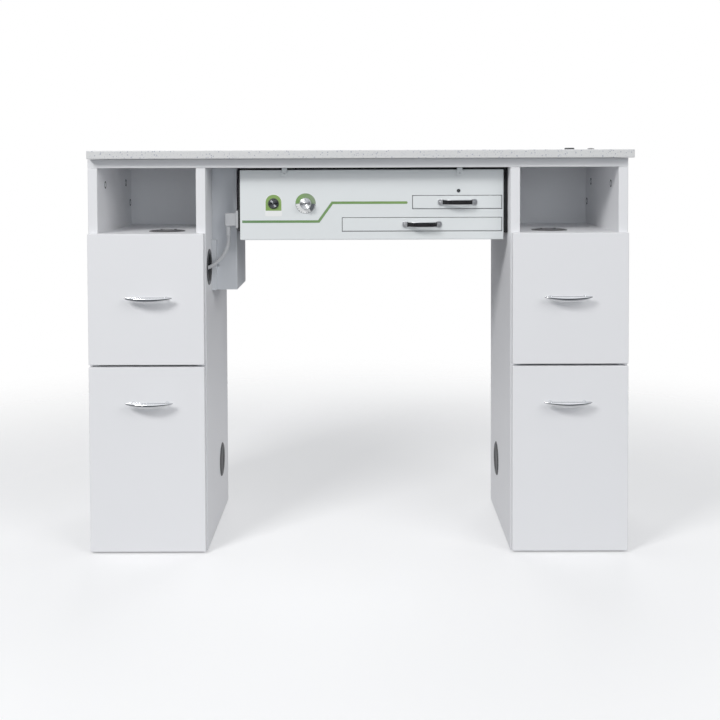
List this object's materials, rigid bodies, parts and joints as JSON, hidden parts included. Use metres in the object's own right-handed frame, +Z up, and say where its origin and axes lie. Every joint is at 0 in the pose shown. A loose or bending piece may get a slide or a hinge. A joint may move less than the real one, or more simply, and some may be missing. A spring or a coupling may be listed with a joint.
{
  "type": "manicure table",
  "caption": "Manicure table: two drawer pedestals with open cubbies, a stone slab top, and a hung dust extractor with filter and dust drawers, controls and a duct.",
  "frame": {"origin": "on the floor, at the centre of the footprint of the whole table without its lead", "axes": "+X to the right of a person facing the drawer fronts, +Y from the drawer fronts to the back, +Z up"},
  "size_m": [1.027, 0.421, 0.7675],
  "materials": {
    "melamine": "white melamine-faced board with matching edging, satin",
    "stone": "white engineered stone with blue-grey specks, polished",
    "painted_steel": "cool white powder coat, semi-gloss",
    "black_steel": "black powder coat, fine texture",
    "galvanised": "zinc-plated steel",
    "chrome": "bright chrome plate",
    "spun_aluminium": "spun face, bright",
    "black_plastic": "moulded, satin",
    "pale_plastic": "moulded PVC, satin",
    "filter_foam": "open-cell carbon foam",
    "motor_steel": "drawn steel can",
    "cord_rubber": "grey PVC sheath, satin"
  },
  "bodies": {
    "cabinet": {"left_outer_side": "melamine", "left_inner_side": "melamine", "left_back_panel": "melamine", "left_bottom_panel": "melamine", "left_cubby_floor": "melamine", "left_upper_drawer_inner_rail": "galvanised", "left_upper_drawer_outer_rail": "galvanised", "left_lower_drawer_inner_rail": "galvanised", "left_lower_drawer_outer_rail": "galvanised", "left_grommet_ring": "black_plastic", "left_low_grommet_cap": "black_plastic", "right_outer_side": "melamine", "right_inner_side": "melamine", "right_back_panel": "melamine", "right_bottom_panel": "melamine", "right_cubby_floor": "melamine", "right_upper_drawer_inner_rail": "galvanised", "right_upper_drawer_outer_rail": "galvanised", "right_lower_drawer_inner_rail": "galvanised", "right_lower_drawer_outer_rail": "galvanised", "right_grommet_ring": "black_plastic", "right_low_grommet_cap": "black_plastic", "stone_top": "stone", "sub_top": "melamine", "vac_front_panel": "painted_steel", "vac_chassis": "black_steel", "exhaust_duct": "painted_steel", "intake_grille": "galvanised", "fan_housing": "galvanised", "fan_motor": "motor_steel", "power_inlet": "pale_plastic", "cord_connector": "pale_plastic", "cord": "cord_rubber", "cord_coil": "cord_rubber", "cord_plug": "pale_plastic", "cord_grommet": "black_plastic", "top_plug_flat": "black_plastic", "top_plug_domed": "black_plastic"},
    "left_upper_drawer": {"left_upper_drawer_front": "melamine", "left_upper_drawer_box": "melamine", "left_upper_drawer_handle": "chrome"},
    "left_lower_drawer": {"left_lower_drawer_front": "melamine", "left_lower_drawer_box": "melamine", "left_lower_drawer_handle": "chrome"},
    "left_grommet_lid": {"left_grommet_cap": "black_plastic"},
    "right_upper_drawer": {"right_upper_drawer_front": "melamine", "right_upper_drawer_box": "melamine", "right_upper_drawer_handle": "chrome"},
    "right_lower_drawer": {"right_lower_drawer_front": "melamine", "right_lower_drawer_box": "melamine", "right_lower_drawer_handle": "chrome"},
    "right_grommet_lid": {"right_grommet_cap": "black_plastic"},
    "filter_tray": {"filter_drawer": "painted_steel", "filter_drawer_handle": "chrome", "filter_pad": "filter_foam"},
    "dust_tray": {"dust_drawer": "painted_steel", "dust_drawer_handle": "chrome"},
    "power_switch": {"power_button": "black_plastic"},
    "speed_control": {"speed_knob": "spun_aluminium"},
    "fan": {"fan_impeller": "black_plastic"}
  },
  "joints": [
    {"name": "left_upper_drawer_slide", "type": "slide", "parent": "cabinet", "child": "left_upper_drawer", "axis": [0, -1, 0], "range_m": [0, 0.15]},
    {"name": "left_lower_drawer_slide", "type": "slide", "parent": "cabinet", "child": "left_lower_drawer", "axis": [0, -1, 0], "range_m": [0, 0.15]},
    {"name": "right_upper_drawer_slide", "type": "slide", "parent": "cabinet", "child": "right_upper_drawer", "axis": [0, -1, 0], "range_m": [0, 0.15]},
    {"name": "right_lower_drawer_slide", "type": "slide", "parent": "cabinet", "child": "right_lower_drawer", "axis": [0, -1, 0], "range_m": [0, 0.15]},
    {"name": "filter_tray_slide", "type": "slide", "parent": "cabinet", "child": "filter_tray", "axis": [0, -1, 0], "range_m": [0, 0.17]},
    {"name": "dust_tray_slide", "type": "slide", "parent": "cabinet", "child": "dust_tray", "axis": [0, -1, 0], "range_m": [0, 0.2]},
    {"name": "power_button_press", "type": "slide", "parent": "cabinet", "child": "power_switch", "axis": [0, 1, 0], "range_m": [0, 0.0025], "stiffness_N_per_m": 400},
    {"name": "speed_knob_turn", "type": "hinge", "parent": "cabinet", "child": "speed_control", "pos_m": [-0.1043, -0.1295, 0.6602], "axis": [0, 1, 0], "range_deg": [0, 280]},
    {"name": "fan_spin", "type": "hinge", "parent": "cabinet", "child": "fan", "pos_m": [-0.1285, -0.0175, 0.66], "axis": [0, 0, 1], "continuous": true},
    {"name": "left_grommet_lid_turn", "type": "hinge", "parent": "cabinet", "child": "left_grommet_lid", "pos_m": [-0.3755, -0.1015, 0.606], "axis": [0, 0, 1], "continuous": true},
    {"name": "right_grommet_lid_turn", "type": "hinge", "parent": "cabinet", "child": "right_grommet_lid", "pos_m": [0.3685, -0.1015, 0.606], "axis": [0, 0, 1], "continuous": true}
  ]
}
